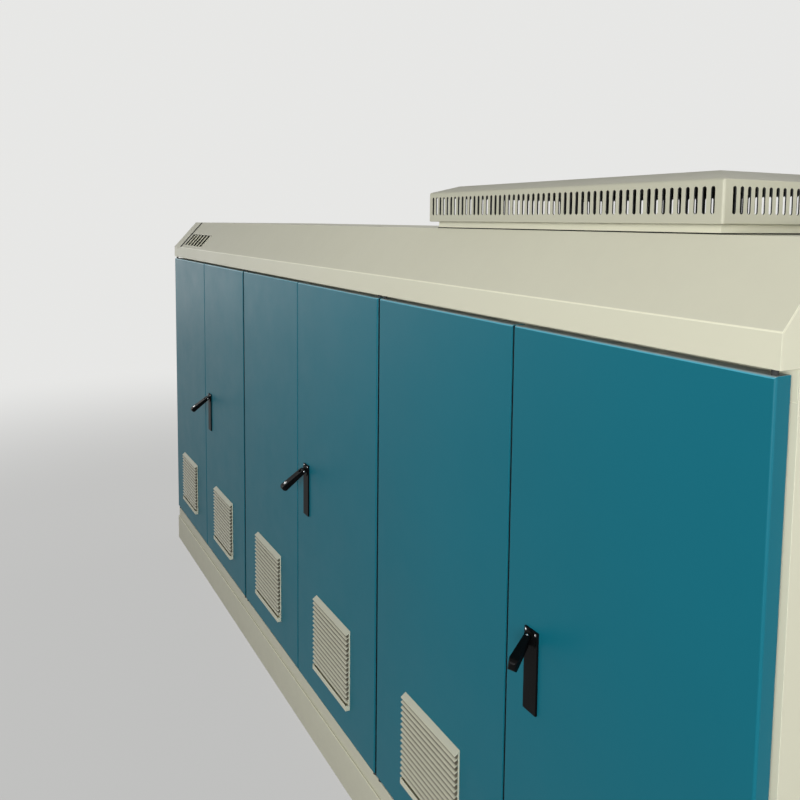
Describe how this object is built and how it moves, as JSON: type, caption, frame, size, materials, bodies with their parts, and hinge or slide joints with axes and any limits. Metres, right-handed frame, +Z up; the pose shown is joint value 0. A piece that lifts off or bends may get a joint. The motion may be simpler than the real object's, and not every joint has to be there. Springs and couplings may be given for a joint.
{
  "type": "control cabinet of a plastic extrusion line",
  "caption": "Long free-standing control cabinet with teal double doors in bays, louvres, lifting handles, a cream plinth, a sloped hood and a slotted vent cap.",
  "frame": {"origin": "middle of the footprint, levers included, at floor level", "axes": "+X along the row to the right of someone facing the doors, +Y from the doors into the depth, +Z up"},
  "size_m": [2.85, 0.67, 1.432],
  "materials": {
    "cream_paint": "satin powder coat, light cream grey",
    "teal_paint": "satin powder coat, dark teal",
    "zinc_plate": "zinc-plated sheet steel",
    "black_handle": "black powder-coated casting"
  },
  "bodies": {
    "cabinet": {"plinth_front": "cream_paint", "plinth_back": "cream_paint", "plinth_left": "cream_paint", "plinth_right": "cream_paint", "floor_panel": "zinc_plate", "left_side": "cream_paint", "right_side": "cream_paint", "back_panel_1": "cream_paint", "back_panel_2": "cream_paint", "back_panel_3": "cream_paint", "bay_posts_1": "cream_paint", "bay_posts_2": "cream_paint", "sill_rail": "cream_paint", "head_rail": "cream_paint", "roof_panel": "cream_paint", "hood_front": "cream_paint", "hood_end_strip": "cream_paint", "hood_louvre": "cream_paint", "cap_curb": "cream_paint", "vent_cap": "cream_paint", "mounting_plate_1": "zinc_plate", "mounting_plate_2": "zinc_plate", "mounting_plate_3": "zinc_plate", "hinge_pins": "black_handle"},
    "leaf_1": {"door_1": "teal_paint", "door_louvre_1": "cream_paint"},
    "leaf_2": {"door_2": "teal_paint", "door_louvre_2": "cream_paint", "handle_plate_1": "black_handle"},
    "leaf_3": {"door_3": "teal_paint", "door_louvre_3": "cream_paint"},
    "leaf_4": {"door_4": "teal_paint", "door_louvre_4": "cream_paint", "handle_plate_2": "black_handle"},
    "leaf_5": {"door_5": "teal_paint", "door_louvre_5": "cream_paint"},
    "leaf_6": {"door_6": "teal_paint", "door_louvre_6": "cream_paint", "handle_plate_3": "black_handle"},
    "hub_1": {"handle_hub_1": "black_handle"},
    "lever_1": {"handle_lever_1": "black_handle"},
    "hub_2": {"handle_hub_2": "black_handle"},
    "lever_2": {"handle_lever_2": "black_handle"},
    "hub_3": {"handle_hub_3": "black_handle"},
    "lever_3": {"handle_lever_3": "black_handle"}
  },
  "joints": [
    {"name": "door_1_hinge", "type": "hinge", "parent": "cabinet", "child": "leaf_1", "pos_m": [-1.412, -0.25596, 0.6695], "axis": [0, 0, 1], "range_deg": [-105, 0]},
    {"name": "door_2_hinge", "type": "hinge", "parent": "cabinet", "child": "leaf_2", "pos_m": [-0.488, -0.25596, 0.6695], "axis": [0, 0, 1], "range_deg": [0, 105]},
    {"name": "door_3_hinge", "type": "hinge", "parent": "cabinet", "child": "leaf_3", "pos_m": [-0.462, -0.25596, 0.6695], "axis": [0, 0, 1], "range_deg": [-105, 0]},
    {"name": "door_4_hinge", "type": "hinge", "parent": "cabinet", "child": "leaf_4", "pos_m": [0.462, -0.25596, 0.6695], "axis": [0, 0, 1], "range_deg": [0, 105]},
    {"name": "door_5_hinge", "type": "hinge", "parent": "cabinet", "child": "leaf_5", "pos_m": [0.488, -0.25596, 0.6695], "axis": [0, 0, 1], "range_deg": [-105, 0]},
    {"name": "door_6_hinge", "type": "hinge", "parent": "cabinet", "child": "leaf_6", "pos_m": [1.412, -0.25596, 0.6695], "axis": [0, 0, 1], "range_deg": [0, 105]},
    {"name": "handle_1_turn", "type": "hinge", "parent": "leaf_2", "child": "hub_1", "pos_m": [-0.882, -0.26496, 0.716], "axis": [0, -1, 0], "range_deg": [0, 90]},
    {"name": "handle_1_lift", "type": "hinge", "parent": "hub_1", "child": "lever_1", "pos_m": [-0.882, -0.27676, 0.716], "axis": [-1, 0, 0], "range_deg": [-52, 38]},
    {"name": "handle_2_turn", "type": "hinge", "parent": "leaf_4", "child": "hub_2", "pos_m": [0.068, -0.26496, 0.716], "axis": [0, -1, 0], "range_deg": [0, 90]},
    {"name": "handle_2_lift", "type": "hinge", "parent": "hub_2", "child": "lever_2", "pos_m": [0.068, -0.27676, 0.716], "axis": [-1, 0, 0], "range_deg": [-52, 38]},
    {"name": "handle_3_turn", "type": "hinge", "parent": "leaf_6", "child": "hub_3", "pos_m": [1.018, -0.26496, 0.716], "axis": [0, -1, 0], "range_deg": [-78, 12]},
    {"name": "handle_3_lift", "type": "hinge", "parent": "hub_3", "child": "lever_3", "pos_m": [1.018, -0.27676, 0.716], "axis": [-0.2079, 0, -0.9781], "range_deg": [-52, 38]}
  ]
}
